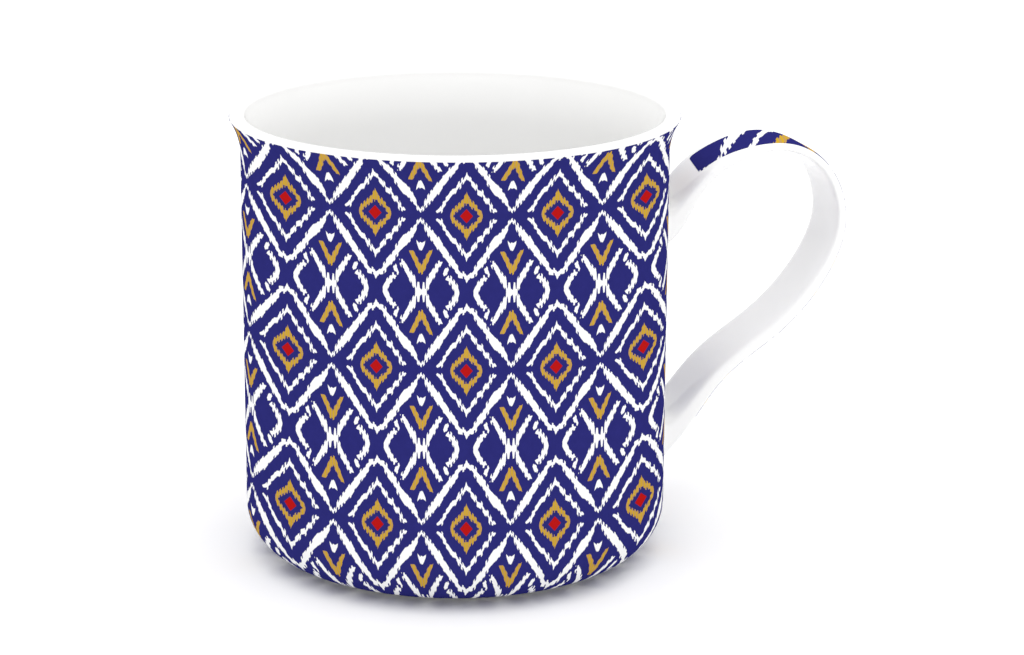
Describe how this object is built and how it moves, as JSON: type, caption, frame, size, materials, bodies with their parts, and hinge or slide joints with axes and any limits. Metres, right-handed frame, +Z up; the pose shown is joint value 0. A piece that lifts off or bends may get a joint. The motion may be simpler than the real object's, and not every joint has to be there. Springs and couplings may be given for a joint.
{
  "type": "patterned porcelain mug",
  "caption": "Straight-walled glossy porcelain mug with a flared lip, rounded base and wide ribbon handle, its outside covered by an ikat transfer print in blue, white, ochre and red.",
  "frame": {"origin": "on the cup's axis, at the level of the foot ring's contact band", "axes": "+Z up along the cup's axis, +X out through the middle of the handle, +Y to the right of the handle seen from outside"},
  "size_m": [0.1246, 0.088, 0.0892],
  "materials": {
    "bisque": "bare fired porcelain, matt, seen only on the foot ring",
    "slip": "fired slip under the glaze",
    "white_glaze": "clear high gloss over white porcelain",
    "print": "fired transfer, high gloss; royal blue ground with white, ochre and red ikat diamonds"
  },
  "bodies": {
    "root": {"cup_body": "bisque", "strap_handle": "bisque", "upper_slip_joint": "slip", "lower_slip_joint": "slip", "glaze_coat": "white_glaze", "recess_glaze": "white_glaze", "wrap_print": "print", "handle_print": "print"}
  },
  "joints": []
}
